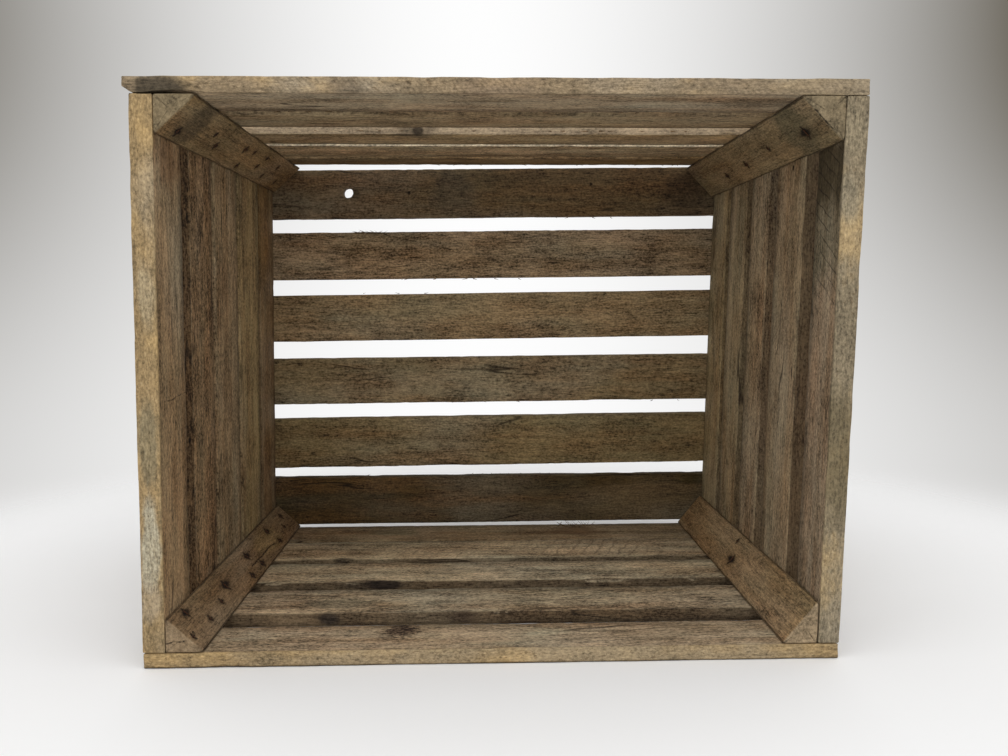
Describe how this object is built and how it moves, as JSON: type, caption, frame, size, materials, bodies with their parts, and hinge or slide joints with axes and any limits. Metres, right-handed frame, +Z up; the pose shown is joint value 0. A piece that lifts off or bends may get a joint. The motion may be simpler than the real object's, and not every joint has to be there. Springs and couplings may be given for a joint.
{
  "type": "slatted wooden crate",
  "caption": "Weathered slatted field crate with an open mouth, nailed boards on three-cornered corner posts, lying on its long side.",
  "frame": {"origin": "on the ground under the middle of the crate's bounding box, with the crate lying on its long side as in the picture", "axes": "+X across the mouth to the right, +Y from the open mouth back to the crate's floor slats, +Z up"},
  "size_m": [0.471, 0.3124, 0.38],
  "materials": {
    "board_wood": "weathered, dry and rough sawn",
    "side_wood": "weathered, dry and rough sawn",
    "slat_wood": "weathered, dark and rough sawn",
    "post_wood": "weathered, dry, with rust stains",
    "nail_iron": "rusted"
  },
  "bodies": {
    "root": {"post_top_left": "post_wood", "post_top_right": "post_wood", "post_bottom_left": "post_wood", "post_bottom_right": "post_wood", "top_board_1": "board_wood", "top_board_2": "board_wood", "top_board_3": "board_wood", "top_board_4": "board_wood", "top_board_5": "board_wood", "bottom_board_1": "board_wood", "bottom_board_2": "board_wood", "bottom_board_3": "board_wood", "bottom_board_4": "board_wood", "bottom_board_5": "board_wood", "left_board_1": "side_wood", "left_board_2": "side_wood", "left_board_3": "side_wood", "left_board_4": "side_wood", "left_board_5": "side_wood", "right_board_1": "side_wood", "right_board_2": "side_wood", "right_board_3": "side_wood", "right_board_4": "side_wood", "right_board_5": "side_wood", "floor_slat_1": "slat_wood", "floor_slat_2": "slat_wood", "floor_slat_3": "slat_wood", "floor_slat_4": "slat_wood", "floor_slat_5": "slat_wood", "floor_slat_6": "slat_wood", "nails_top_wall": "nail_iron", "nails_bottom_wall": "nail_iron", "nails_left_wall": "nail_iron", "nails_right_wall": "nail_iron", "nails_floor": "nail_iron"}
  },
  "joints": []
}
